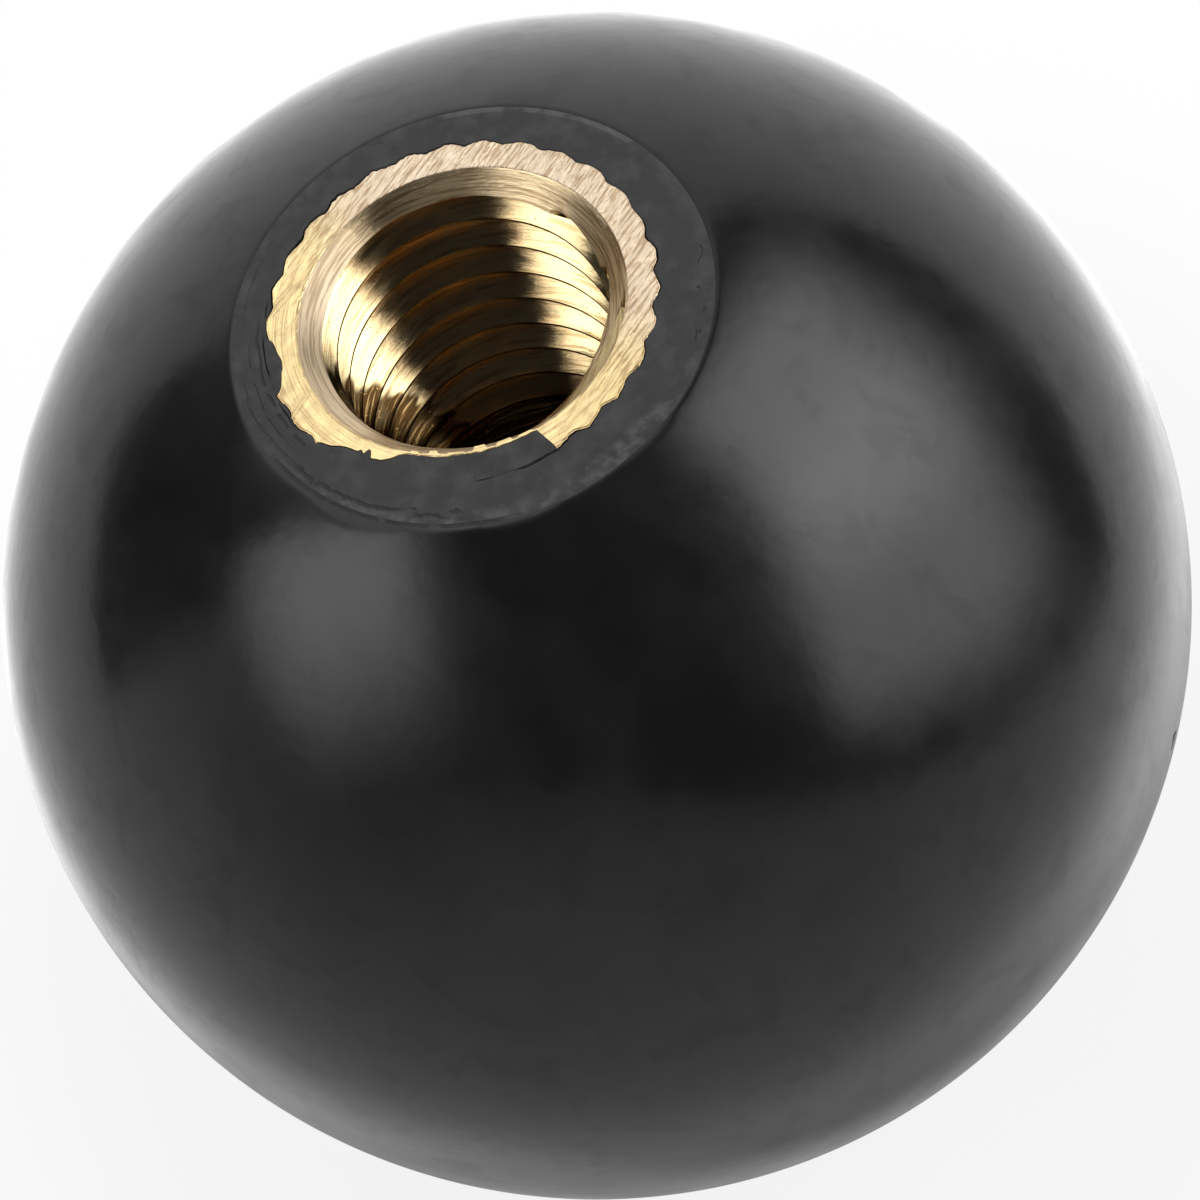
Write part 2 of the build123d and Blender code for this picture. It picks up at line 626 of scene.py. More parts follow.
@dataclass(frozen=True)
class ResinBall:
    """The resin ball: a sphere with a flat, the chips along its rim, and the cavity round the bush.

    A chip is its place's radius and angle on the flat. A rim step is how far beyond the flat's rim it is, as
    an angle at the ball's centre, and how far it lies under the sphere.
    """

    knurl: Knurl
    bush: BrassBush
    columns: int = 420
    radius: float = 19.99
    axis: tuple = BALL_AXIS
    flat_radius: float = 7.473
    rim_round: float = 0.1
    rim_drop: float = 0.004
    gap: float = 0.033
    spare: float = 0.01
    least_cover: float = 0.03
    bare_depth: float = 0.05
    undercut: float = 0.002
    under_fall: float = 0.012
    lip_drop: float = 0.018
    crack_radius: float = 6.135
    crack_width: float = 0.028
    flat_rings: int = 15
    rim_steps: tuple = ((-0.12, 0.02), (0.08, 0.004), (0.4, 0.0), (0.9, 0.0), (1.6, 0.0))
    sphere_start: float = 2.6
    sphere_end: float = 178.8
    sphere_rings: int = 112
    chips: tuple = ((7.24, 223.0), (7.50, 262.0), (7.64, 296.0))
    chip_slope: float = 79.0
    chip_reach: float = 4.0
    nick_depth: float = 0.07
    nick_reach: tuple = (0.1, 0.5)
    crease: float = 40.0

    @property
    def centre_depth(self) -> float:
        """How far the ball's centre lies under the flat."""
        return math.sqrt(self.radius**2 - self.flat_radius**2)

    def crack(self, angle: np.ndarray) -> np.ndarray:
        """Gives the depth of the hairline crack over the knurl's tips.

        Args:
            angle: Angles round the bush.

        Returns:
            The depth at each angle.
        """
        turn = angle % 360.0
        deep = (0.05 + 0.12 * blend(turn, 262.0, 276.0)) * stretch(turn, 253.0, 257.0, 277.5, 280.5)
        faint = 0.06 * stretch(turn, 146.0, 156.0, 186.0, 202.0)
        broken = blend(uneven(41, turn, 110) + 0.6 * uneven(42, turn, 40), -0.7, 0.5)
        return deep * (0.35 + 0.65 * broken) + faint * broken

    def chipped(self, points: np.ndarray) -> np.ndarray:
        """Presses points down to the small flats that were knocked off the rim, and into the side's nick.

        Args:
            points: Points in millimetres.

        Returns:
            The points, none of them outside a chip.
        """
        for radius, around in self.chips:
            through = circle(np.array([around]), radius, 0.0)[0]
            normal = np.array(direction(around, self.chip_slope))
            over = (points - through) @ normal
            near = np.linalg.norm(points - through, axis=-1) < self.chip_reach
            points = points - np.where(near & (over > 0), over, 0.0)[..., None] * normal
        side = np.array(NICK) / np.linalg.norm(NICK)
        centre = np.array([*self.axis, -self.centre_depth])
        away = np.linalg.norm((points - centre) / self.radius - side, axis=-1) * self.radius
        return points - (self.nick_depth * (1.0 - blend(away, *self.nick_reach)))[..., None] * side

    def flat(self, skin: Skin, fine: np.ndarray, edge: np.ndarray) -> tuple:
        """Adds the flat, with its crack, from the bush to the rim.

        Args:
            skin: The ball's skin.
            fine: The columns' angles.
            edge: The radius at which the resin begins at each angle.

        Returns:
            The first ring's numbers, the last ring's numbers, and the last ring's radius at each angle.
        """
        turn = fine % 360.0
        rough = 0.004 * (uneven(51, fine, 200) - 1.0)
        crack = self.crack_radius + 0.025 * uneven(52, fine, 60) + 0.01 * uneven(55, fine, 260)
        crack = np.maximum(crack, edge + 0.05)
        half = self.crack_width + 0.022 * stretch(turn, 264.0, 273.0, 277.5, 280.5)
        # where the ray from the bush's axis meets the rim, whose own centre is the ball's axis
        ahead = self.axis[0] * np.cos(np.radians(fine)) + self.axis[1] * np.sin(np.radians(fine))
        beside = self.axis[0] ** 2 + self.axis[1] ** 2 - (self.flat_radius - self.rim_round) ** 2
        rim = ahead + np.sqrt(ahead**2 - beside)
        rim = rim + 0.02 * uneven(53, fine, 48) + 0.012 * uneven(54, fine, 170)

        rings = [(edge, -self.lip_drop), (edge + self.lip_drop, rough), (crack - half, rough),
                 (crack, rough - self.crack(fine)), (crack + half, rough)]
        inner = crack + half
        for share in np.arange(1, self.flat_rings + 1) / self.flat_rings:
            rings.append((inner + share * (rim - inner), rough * (1.0 - share) - self.rim_drop * share))
        made = [skin.add(self.chipped(circle(fine, radius, height))) for radius, height in rings]
        for before, after in zip(made, made[1:]):
            skin.join(before, after, Finish.CUT_RESIN)
        return made[0], made[-1], rim

    def sphere(self, skin: Skin, around: np.ndarray, before: np.ndarray) -> None:
        """Adds the sphere below the flat's last ring.

        Args:
            skin: The ball's skin.
            around: Angles of the ring about the ball's axis.
            before: The ring's numbers.
        """
        start = math.degrees(math.asin((self.flat_radius + 0.02) / self.radius))

        def parallel(angle: np.ndarray, polar: float, sunk: float) -> np.ndarray:
            """Adds a ring of the sphere.

            Args:
                angle: The points' angles about the ball's axis.
                polar: The ring's angle from the ball's axis.
                sunk: How far the ring lies under the sphere.

            Returns:
                The ring's numbers.
            """
            radius, down = self.radius - sunk, math.radians(polar)
            height = min(-self.centre_depth + radius * math.cos(down), -self.rim_drop)
            return skin.add(self.chipped(circle(angle, radius * math.sin(down), height, self.axis)))

        finish = Finish.CUT_RESIN
        for beyond, sunk in self.rim_steps:
            before = skin.join(before, parallel(around, start + beyond, sunk), finish)
            finish = Finish.POLISHED_RESIN
        first, *others = np.linspace(start + self.sphere_start, self.sphere_end, self.sphere_rings)
        before = skin.thin_out(before, parallel(around[0::2], first, 0.0), finish)
        for polar in others:
            before = skin.join(before, parallel(around[0::2], polar, 0.0), finish)
        skin.close(before, (*self.axis, -self.centre_depth - self.radius), finish)

    def cavity(self, skin: Skin, fine: np.ndarray, edge: np.ndarray, lip: np.ndarray) -> None:
        """Adds the cavity round the bush, and the underside of the resin that ran over it.

        Args:
            skin: The ball's skin.
            fine: The columns' angles.
            edge: The radius at which the resin begins at each angle.
            lip: The numbers of the flat's first ring.
        """
        wall = self.knurl.rolled(fine) + self.gap
        under = np.minimum(-self.knurl.depth(fine) + self.spare, -self.least_cover)
        under = np.where(edge < wall - self.spare, under, -self.bare_depth)
        before = skin.join(lip, skin.ring(fine, edge + self.undercut, under), Finish.CUT_RESIN)
        after = skin.ring(fine, np.maximum(wall, edge + 2.0 * self.undercut), under - self.under_fall)
        before = skin.join(before, after, Finish.CUT_RESIN)
        self.bush.wrap(skin, fine, before, self.spare, Finish.CUT_RESIN)

    def build(self, materials: list) -> bpy.types.Object:
        """Makes the ball.

        Args:
            materials: The polished and the cut resin.

        Returns:
            The piece.
        """
        skin = Skin("resin_ball")
        fine = self.knurl.angles(2 * self.columns)
        edge = self.knurl.resin_edge(fine, self.gap)
        lip, last, rim = self.flat(skin, fine, edge)
        x, y, _ = circle(fine, rim, 0.0).T
        self.sphere(skin, np.degrees(np.arctan2(y - self.axis[1], x - self.axis[0])), last)
        self.cavity(skin, fine, edge, lip)
        return skin.piece(materials, self.crease)


def feed(socket: bpy.types.NodeSocket, given: object) -> None:
    """Links a signal to an input, or sets the input's own value.

    Args:
        socket: The input.
        given: A signal or a socket to link, or else a number, a vector, or a colour's three parts.
    """
    source = given.socket if isinstance(given, Signal) else given
    if isinstance(source, bpy.types.NodeSocket):
        socket.id_data.links.new(source, socket)
    else:
        socket.default_value = (*source, 1.0) if socket.type == "RGBA" else source


def node(tree: bpy.types.NodeTree, kind: str, *inputs: object, **settings: object) -> bpy.types.Node:
    """Adds a node.

    Args:
        tree: The node tree.
        kind: The node's type.
        *inputs: What its first inputs are given, in order.
        **settings: Its properties by name, and inputs by their label with underscores for spaces.

    Returns:
        The node.
    """
    made = tree.nodes.new(kind)
    for key, value in settings.items():
        label = key.replace("_", " ")
        if label in made.inputs:
            feed(made.inputs[label], value)
        else:
            setattr(made, key, value)
    for socket, value in zip(made.inputs, inputs):
        feed(socket, value)
    return made


@dataclass(frozen=True)
class Signal:
    """A number, vector or colour in a node tree. The usual signs work it out further with Math nodes."""

    socket: bpy.types.NodeSocket

    def of(self, operation: str, *inputs: object) -> "Signal":
        """Adds a Math node to the signal's tree, with inputs in order, and gives its result."""
        return Signal(node(self.socket.id_data, "ShaderNodeMath", *inputs, operation=operation).outputs[0])

    def math(self, operation: str, *others: object) -> "Signal":
        """Works the signal out further: it is the Math node's first input, and the others follow."""
        return self.of(operation, self, *others)

    def __add__(self, other: object) -> "Signal":
        """Adds another signal or a number."""
        return self.math("ADD", other)

    def __sub__(self, other: object) -> "Signal":
        """Takes off another signal or a number."""
        return self.math("SUBTRACT", other)

    def __rsub__(self, other: float) -> "Signal":
        """Takes the signal off a number."""
        return self.of("SUBTRACT", other, self)

    def __mul__(self, other: object) -> "Signal":
        """Multiplies by another signal or a number."""
        return self.math("MULTIPLY", other)

    def __truediv__(self, other: object) -> "Signal":
        """Divides by another signal or a number."""
        return self.math("DIVIDE", other)

    def __rtruediv__(self, other: float) -> "Signal":
        """Divides a number by the signal."""
        return self.of("DIVIDE", other, self)

    def __abs__(self) -> "Signal":
        """Gives the distance from 0."""
        return self.math("ABSOLUTE")

    def most(self, other: object) -> "Signal":
        """Gives the greater of this and another signal or a number."""
        return self.math("MAXIMUM", other)

    def vector(self, operation: str, *others: object, **settings: object) -> "Signal":
        """Works a vector out further.

        Args:
            operation: The operation of the Vector Math node.
            *others: Further vectors, in order.
            **settings: Other inputs by their label.

        Returns:
            The result, which is a number for a length, a distance and a dot product.
        """
        tree, number = self.socket.id_data, operation in ("LENGTH", "DISTANCE", "DOT_PRODUCT")
        made = node(tree, "ShaderNodeVectorMath", self, *others, operation=operation, **settings)
        return Signal(made.outputs["Value" if number else "Vector"])

    def ramp(self, low: float, high: float, to_low: float = 0.0, to_high: float = 1.0) -> "Signal":
        """Maps the signal smoothly from one range to another.

        Args:
            low: Value that gives to_low.
            high: Value that gives to_high.
            to_low: Result at low and beyond.
            to_high: Result at high and beyond.

        Returns:
            The result.
        """
        made = node(self.socket.id_data, "ShaderNodeMapRange", self, low, high, to_low, to_high,
                    interpolation_type="SMOOTHSTEP")
        return Signal(made.outputs[0])

    def window(self, low: float, high: float, soft: float) -> "Signal":
        """Gives 1 between two values and 0 outside them.

        Args:
            low: Where the window opens.
            high: Where it closes.
            soft: Width of each soft end.

        Returns:
            The result.
        """
        opened = self.ramp(low - soft / 2, low + soft / 2)
        return opened * self.ramp(high - soft / 2, high + soft / 2, 1.0, 0.0)

    def mix(self, first: object, second: object) -> "Signal":
        """Mixes two colours, with this signal as the second one's share.

        Args:
            first: The first colour, or a signal of it.
            second: The second colour, or a signal of it.

        Returns:
            The mixed colour.
        """
        made = node(self.socket.id_data, "ShaderNodeMix", data_type="RGBA")
        for place, value in ((0, self), (6, first), (7, second)):
            feed(made.inputs[place], value)
        return Signal(made.outputs[2])


def noise(place: Signal, **settings: float) -> Signal:
    """Adds a noise over a place and gives its value."""
    made = node(place.socket.id_data, "ShaderNodeTexNoise", Vector=place, Scale=1.0, **settings)
    return Signal(made.outputs[0])


@dataclass
class EffectGroups:
    """The effects that several finishes share, each a node group made once."""

    made: dict = field(default_factory=dict)

    def group(self, name: str, inputs: dict, outputs: tuple) -> tuple:
        """Starts a node group. Its places are vectors, and all else is numbers.

        Args:
            name: The group's name.
            inputs: Default of each input by its label, or none for a place.
            outputs: Label of each output.

        Returns:
            The group's tree, and its inputs as signals.
        """
        tree = bpy.data.node_groups.new(name, "ShaderNodeTree")
        sides = [("INPUT", label, default) for label, default in inputs.items()]
        for side, label, default in sides + [("OUTPUT", label, None) for label in outputs]:
            kind = "NodeSocketVector" if label == "Place" else "NodeSocketFloat"
            socket = tree.interface.new_socket(label, in_out=side, socket_type=kind)
            if default is not None:
                socket.default_value = default
        self.made[name] = tree
        return tree, [Signal(socket) for socket in tree.nodes.new("NodeGroupInput").outputs][:len(inputs)]

    def place(self) -> None:
        """Makes the group that gives places on the knob in millimetres."""
        labels = ("Place", "Radius", "Height", "Along Stroke", "Across Stroke", "Angle", "Ball Radius")
        tree, _ = self.group("place_on_knob", {}, labels)
        here = Signal(node(tree, "ShaderNodeTexCoord").outputs["Object"]).vector("SCALE", Scale=1.0 / MM)
        x, y, height = (Signal(part) for part in node(tree, "ShaderNodeSeparateXYZ", here).outputs)
        ball_x, ball_y = x - BALL_AXIS[0], y - BALL_AXIS[1]
        cos, sin, _ = direction(STROKE_ANGLE, 0.0)
        angle = y.math("ARCTAN2", x) * math.degrees(1.0)
        radius, ball_radius = (x * x + y * y).math("SQRT"), (ball_x * ball_x + ball_y * ball_y).math("SQRT")
        node(tree, "NodeGroupOutput", here, radius, height, x * cos + y * sin, y * cos - x * sin,
             angle.math("FLOORED_MODULO", 360.0), ball_radius)

    def clouds(self) -> None:
        """Makes the group that gives soft, uneven patches, as polish leaves them."""
        defaults = {"Place": None, "Size": 3.0, "Detail": 3.0}
        tree, (place, size, detail) = self.group("soft_clouds", defaults, ("Value",))
        cloud = noise(place.vector("SCALE", Scale=1.0 / size), Detail=detail, Roughness=0.55)
        node(tree, "NodeGroupOutput", cloud)

    def smudges(self) -> None:
        """Makes the group that gives faint wisps, as wiping and fingers leave them."""
        tree, (place, size) = self.group("smudges", {"Place": None, "Size": 2.0}, ("Value",))
        cloud = noise(place.vector("SCALE", Scale=1.0 / size), Detail=4.0, Roughness=0.60, Distortion=0.7)
        wisps = abs(cloud - 0.5).ramp(0.17, 0.02)
        node(tree, "NodeGroupOutput", wisps * 0.5 + cloud.ramp(0.35, 0.7) * 0.5)

    def lines(self) -> None:
        """Makes the group that gives fine uneven lines, run along one measure and crowded along another."""
        defaults = {"Along": 0.0, "Across": 0.0, "Third": 0.0, "Length": 4.0, "Width": 0.06}
        tree, (along, across, third, length, width) = self.group("fine_lines", defaults, ("Value", "Coarse"))
        parts = (along / length, across / width, third / length)
        joined = Signal(node(tree, "ShaderNodeCombineXYZ", *parts).outputs[0])
        node(tree, "NodeGroupOutput", noise(joined, Detail=3.0, Roughness=0.6),
             noise(joined.vector("SCALE", Scale=0.31), Detail=2.0, Roughness=0.5))

    def build(self) -> None:
        """Makes every group."""
        for make in (self.place, self.clouds, self.smudges, self.lines):
            make()
        log.info("effect groups: %s", ", ".join(sorted(self.made)))


class Surface:
    """A material being made: its shader, and measures of the place on the knob that is shaded."""

    def __init__(self, finish: Finish, effects: EffectGroups, **constants: float) -> None:
        """Starts the material.

        Args:
            finish: The finish, which names the material.
            effects: The shared effects.
            **constants: Values of the shader's own sockets by their label, with underscores for spaces.
        """
        self.made = bpy.data.materials.new(finish.label)
        self.made.use_nodes = True
        self.tree = self.made.node_tree
        self.shader = self.tree.nodes["Principled BSDF"]
        self.effects = effects
        self.set(**constants)
        (self.place, self.radius, self.height, self.along, self.across, self.angle,
         self.ball_radius) = self.effect("place_on_knob")

    def set(self, **inputs: object) -> None:
        """Feeds the shader's inputs, by their label with underscores for spaces."""
        for label, value in inputs.items():
            feed(self.shader.inputs[label.replace("_", " ")], value)

    def effect(self, name: str, *inputs: object) -> tuple:
        """Places a shared effect, with its inputs in order, and gives its outputs."""
        made = node(self.tree, "ShaderNodeGroup", *inputs, node_tree=self.effects.made[name])
        return tuple(Signal(socket) for socket in made.outputs)

    def clouds(self, size: float, detail: float) -> Signal:
        """Places soft clouds of a size in millimetres and with so much detail."""
        return self.effect("soft_clouds", self.place, size, detail)[0]

    def lines(self, along: Signal, across: Signal, third: Signal, length: float, width: float) -> tuple:
        """Places fine lines of a length and width in millimetres, and gives them and a coarser kind."""
        return self.effect("fine_lines", along, across, third, length, width)

    def done(self, colour: Signal, roughness: Signal, relief: Signal) -> bpy.types.Material:
        """Finishes the material.

        Args:
            colour: The base colour.
            roughness: The roughness.
            relief: The height of the fine relief, in millimetres.

        Returns:
            The material.
        """
        bump = node(self.tree, "ShaderNodeBump", Strength=1.0, Distance=MM, Height=relief)
        self.set(Base_Color=colour, Roughness=roughness, Normal=bump.outputs[0])
        return self.made


@dataclass(frozen=True)
class PolishedResin:
    """Black resin with a satin polish whose reflections are soft and cloudy."""

    colour: tuple = (0.0095, 0.0095, 0.0097)
    haze: tuple = (0.0135, 0.0135, 0.0137)
    ior: float = 1.445
    smoothest: float = 0.15
    roughest: float = 0.23
    wave: float = 0.005
    smudge: float = 0.19
    smudge_size: float = 1.9
    smudge_roughness: float = 0.22
    scuff: float = 0.05
    nick_roughness: float = 0.5
    nick_distance: float = 20.0

    def material(self, effects: EffectGroups) -> bpy.types.Material:
        """Makes the material.

        Args:
            effects: The shared effects.

        Returns:
            The material.
        """
        on = Surface(Finish.POLISHED_RESIN, effects, IOR=self.ior, Coat_Roughness=self.smudge_roughness)
        broad, small = on.clouds(3.4, 3.0), on.clouds(0.5, 3.0)
        on.set(Coat_Weight=on.effect("smudges", on.place, self.smudge_size)[0] * self.smudge)
        # scratches round the nick on the side, which is rough itself
        spot = Vector(BALL_CENTRE) + self.nick_distance * Vector(NICK).normalized()
        nick = on.place.vector("DISTANCE", tuple(spot))
        scratches, _ = on.lines(on.height, on.across, on.along, 1.1, 0.16)
        near = nick.ramp(2.6, 0.3)
        relief = broad * (4.0 * self.wave) + small * (0.8 * self.wave)
        relief = relief + near * near * (scratches * self.scuff)
        smooth = broad.ramp(0.3, 0.7, self.smoothest, self.roughest)
        roughness = smooth + nick.ramp(0.42, 0.22) * self.nick_roughness
        return on.done(broad.ramp(0.35, 0.65).mix(self.colour, self.haze), roughness, relief)


@dataclass(frozen=True)
class CutResin:
    """Resin where it was cut flat: matt grey, scuffed along the rim, with turning scratches on one side,
    painted shade along part of the rim and a painted highlight on its top.

    An arc is the radii between which it was cut, the angles between which it shows, and how dark it is.
    """

    colour: tuple = (0.0183, 0.0184, 0.0193)
    pale: tuple = (0.052, 0.052, 0.054)
    # worn is also the colour of the painted highlight along the top of the rim
    worn: tuple = (0.085, 0.085, 0.085)
    # dark colours the turning scratches, stains and broken-out arcs, and the painted shade along the rim
    dark: tuple = (0.008, 0.008, 0.0085)
    ior: float = 1.5
    smoothest: float = 0.44
    roughest: float = 0.60
    scratch: float = 0.012
    grain: float = 0.010
    arcs: tuple = ((6.29, 6.37, 158.0, 204.0, 0.9), (6.62, 6.67, 166.0, 199.0, 0.7),
                   (6.95, 7.0, 176.0, 212.0, 0.6))

    def wear_and_highlight(self, on: Surface, cloud: Signal, blotch: Signal) -> Signal:
        """Gives where the flat is worn pale, in spots, along the rim and in a stretch worn through, and where
        a painted highlight lies along the rim's top.

        Args:
            on: The surface.
            cloud: Soft patches.
            blotch: Smaller patches.

        Returns:
            The share of the worn colour, which also paints the highlight.
        """
        rub = on.angle.window(276.0, 306.0, 14.0) * on.radius.window(7.15, 7.9, 0.3)
        rub = rub * blotch.ramp(0.42, 0.68)
        share = on.angle.window(212.0, 312.0, 30.0) * 0.55 + 0.25
        rim = on.ball_radius.ramp(6.75, 7.3) * blotch.ramp(0.44, 0.64) * share
        # painted highlight: a pale line along the top of the rim, where the rounded rim catches the light
        edge = on.ball_radius.ramp(7.22, 7.30) * on.angle.window(15.0, 82.0, 16.0) * cloud.ramp(0.36, 0.56)
        return rub.most(blotch.ramp(0.60, 0.78) * 0.3).most(rim.most(edge))

    def breaks_and_rim_shade(self, on: Surface, cloud: Signal, blotch: Signal) -> Signal:
        """Gives painted shade along the rim, as wavy dark lines where its chipped edge falls into shade, and
        arcs nearer the bush where the cut broke out.

        Args:
            on: The surface.
            cloud: Soft patches, which bend the lines.
            blotch: Smaller patches, which interrupt them.

        Returns:
            How dark and deep each place is, up to 1: painted shade on the rim, and broken-out arcs nearer the
                bush.
        """
        wave = (cloud - 0.5) * 1.1
        waved = on.ball_radius + wave
        # painted shade: wavy dark lines along the rim and at the rim itself, where its chipped edge falls
        # into shade
        broad = waved.window(6.98, 7.12, 0.06) * on.angle.window(203.0, 252.0, 8.0)
        thin = waved.window(7.02, 7.08, 0.035) * on.angle.window(318.0, 358.0, 10.0)
        rim = on.ball_radius.ramp(7.30, 7.36) * on.angle.window(199.0, 262.0, 10.0)
        got = (broad.most(rim) * blotch.ramp(0.36, 0.50)).most(thin * blotch.ramp(0.5, 0.6))
        waved = on.radius + wave * 0.3
        for low, high, start, end, depth in self.arcs:
            arc = waved.window(low, high, 0.04) * on.angle.window(start, end, 9.0)
            got = got.most(arc * depth * blotch.ramp(0.38, 0.52))
        return got

    def material(self, effects: EffectGroups) -> bpy.types.Material:
        """Makes the material.

        Args:
            effects: The shared effects.

        Returns:
            The material.
        """
        on = Surface(Finish.CUT_RESIN, effects, IOR=self.ior)
        cloud, blotch, grain = on.clouds(0.9, 6.0), on.clouds(0.5, 5.0), on.clouds(0.10, 3.0)
        rings, coarse = on.lines(on.along, on.radius, on.across, 5.0, 0.06)
        left = on.angle.window(125.0, 215.0, 30.0)
        breaks_and_rim_shade = self.breaks_and_rim_shade(on, cloud, blotch)
        stains = cloud.ramp(0.46, 0.34) * on.angle.window(232.0, 305.0, 20.0)
        # the dark share: turning scratches and stains, which are the resin's own marks, and the painted shade
        # along the rim
        shadow = ((coarse.ramp(0.46, 0.32) * left).most(stains) * 0.6).most(breaks_and_rim_shade * 0.95)
        colour = shadow.mix(cloud.ramp(0.40, 0.72).mix(self.colour, self.pale), self.dark)
        colour = (self.wear_and_highlight(on, cloud, blotch) * (1.0 - breaks_and_rim_shade)).mix(colour, self.worn)
        relief = rings * left * self.scratch + grain * self.grain + blotch * (2.0 * self.grain)
        roughness = cloud.ramp(0.3, 0.7, self.smoothest, self.roughest)
        return on.done(colour, roughness, relief - breaks_and_rim_shade * (3.0 * self.grain))


@dataclass(frozen=True)
class FiledBrass:
    """The bush's face: straight file strokes on one side and turning rings on the other, with painted shade
    in their grooves.
    """

    pink: tuple = (0.93, 0.76, 0.56)
    gold: tuple = (0.97, 0.76, 0.39)
    # groove is painted shade: the colour of the strokes' and rings' grooves
    groove: tuple = (0.45, 0.28, 0.14)
    smoothest: float = 0.26
    roughest: float = 0.42
    stroke: float = 0.045
    ring: float = 0.018

    def material(self, effects: EffectGroups) -> bpy.types.Material:
        """Makes the material.

        Args:
            effects: The shared effects.

        Returns:
            The material.
        """
        on = Surface(Finish.FILED_BRASS, effects, Metallic=1.0)
        strokes, coarse = on.lines(on.along, on.across, on.height, 0.95, 0.10)
        rings, _ = on.lines(on.along, on.radius, on.across, 3.4, 0.065)
        specks, clouds = on.clouds(0.11, 2.0), on.clouds(0.5, 3.0)
        # two narrow stretches of the turned side were crossed by the file
        crossed = on.angle.window(143.0, 158.0, 5.0) + on.angle.window(187.0, 193.0, 3.0)
        filed = (1.0 - on.angle.window(140.0, 292.0, 34.0)).most(crossed * coarse.ramp(0.46, 0.56) * 0.8)
        lathed = 1.0 - filed
        # painted shade in the grooves of the strokes and rings, with dark specks on the turned side and
        # darker patches
        cut = strokes.ramp(0.53, 0.40) * filed + rings.ramp(0.50, 0.40) * lathed * 0.75
        cut = cut + specks.ramp(0.60, 0.70) * lathed * 0.5
        low = cut * 0.72 + clouds.ramp(0.52, 0.75) * 0.25
        base = (1.0 - on.angle.window(118.0, 322.0, 30.0)).mix(self.gold, self.pink)
        relief = strokes * filed * self.stroke + rings * lathed * self.ring
        roughness = coarse.ramp(0.3, 0.7, self.smoothest, self.roughest)
        return on.done(low.mix(base, self.groove), roughness, relief)


@dataclass(frozen=True)
class TappedBrass:
    """The hole's brass: bright flanks with fine streaks along the cut, painted reflection and shade in the
    bore, and a rough countersink with painted shade in its grooves and a painted highlight on one side.
    """

    colour: tuple = (0.80, 0.63, 0.34)
    streaked: tuple = (0.40, 0.26, 0.11)
    # a painted reflection: the darker, browner tint where the bore mirrors a dark side of the room
    painted_reflection: tuple = (0.79, 0.53, 0.27)
    # painted shade: the colours deeper in the bore and at the bottom of the hole
    deep: tuple = (0.055, 0.030, 0.010)
    bottom: tuple = (0.07, 0.04, 0.022)
    sunk: tuple = (0.88, 0.68, 0.42)
    # a painted highlight on one side of the countersink, and painted shade in its grooves
    sunk_highlight: tuple = (0.97, 0.80, 0.57)
    sunk_groove_shade: tuple = (0.42, 0.28, 0.15)
    smoothest: float = 0.11
    roughest: float = 0.19
    anisotropy: float = 0.95
    quarter_turn: float = 0.25
    streak: float = 0.007
    ring: float = 0.018
    mouth_radius: float = MOUTH_RADIUS

    def wall(self, on: Surface, fine: Signal, coarse: Signal) -> Signal:
        """Gives the tapped wall's colour: streaked, with a painted darker reflection on one side, and painted
        shade deeper in the bore and at its bottom.

        Args:
            on: The surface.
            fine: Fine lines along the cut.
            coarse: Coarser ones, which fray the painted shade.

        Returns:
            The colour.
        """
        # painted shade deeper in the bore, where less light gets in; its border slants on the low side
        border = on.height + (156.0 - on.angle) * 0.165 + coarse.ramp(0.35, 0.65, -0.5, 0.5)
        slanting = border.ramp(-3.3, -4.1) * on.angle.window(95.0, 230.0, 30.0)
        deep_shade = on.height.ramp(-10.0, -13.5).most(slanting) * coarse.ramp(0.66, 0.50, 0.93, 1.0)
        # painted reflection: a darker, browner tint, patchy, on the side of the bore that mirrors a dark side
        # of the room
        painted_reflection = on.angle.window(50.0, 122.0, 14.0) * on.clouds(1.1, 2.0).ramp(0.38, 0.60, 0.35, 0.95)
        lines = (fine.ramp(0.49, 0.37) * 0.7).most(on.clouds(0.16, 2.0).ramp(0.64, 0.74))
        colour = deep_shade.mix(painted_reflection.mix(self.colour, self.painted_reflection), self.deep)
        # painted shade: darker still towards the bottom of the hole
        return on.height.ramp(-13.2, -15.5).mix(lines.mix(colour, self.streaked), self.bottom)

    def material(self, effects: EffectGroups) -> bpy.types.Material:
        """Makes the material.

        Args:
            effects: The shared effects.

        Returns:
            The material.
        """
        on = Surface(Finish.TAPPED_BRASS, effects, Metallic=1.0, Anisotropic=self.anisotropy,
                     Anisotropic_Rotation=self.quarter_turn)
        on.set(Tangent=node(on.tree, "ShaderNodeTangent", direction_type="RADIAL", axis="Z").outputs[0])
        streaks, coarse = on.lines(on.along, on.height, on.across, 0.75, 0.075)
        fine, _ = on.lines(on.along, on.height, on.across, 2.0, 0.06)
        # on the countersink, radius and depth add up to the mouth's radius
        off_cone = abs(on.radius - on.height - self.mouth_radius)
        cone = off_cone.ramp(0.045, 0.02) * on.height.ramp(-0.95, -0.85)
        # painted highlight: the countersink is paler on one side, where it catches the lights, and rougher
        # there
        pale = on.angle.window(122.0, 212.0, 26.0)
        # painted shade in the countersink's grooves, fainter on its paler side
        grooves = fine.ramp(0.54, 0.40) * pale.ramp(0.0, 1.0, 0.8, 0.55)
        sunk = grooves.mix(pale.mix(self.sunk, self.sunk_highlight), self.sunk_groove_shade)
        smooth = coarse.ramp(0.3, 0.7, self.smoothest, self.roughest)
        relief = streaks * self.streak + streaks * cone * self.ring
        roughness = smooth + cone * pale.ramp(0.0, 1.0, 0.15, 0.42)
        return on.done(cone.mix(self.wall(on, fine, coarse), sunk), roughness, relief)


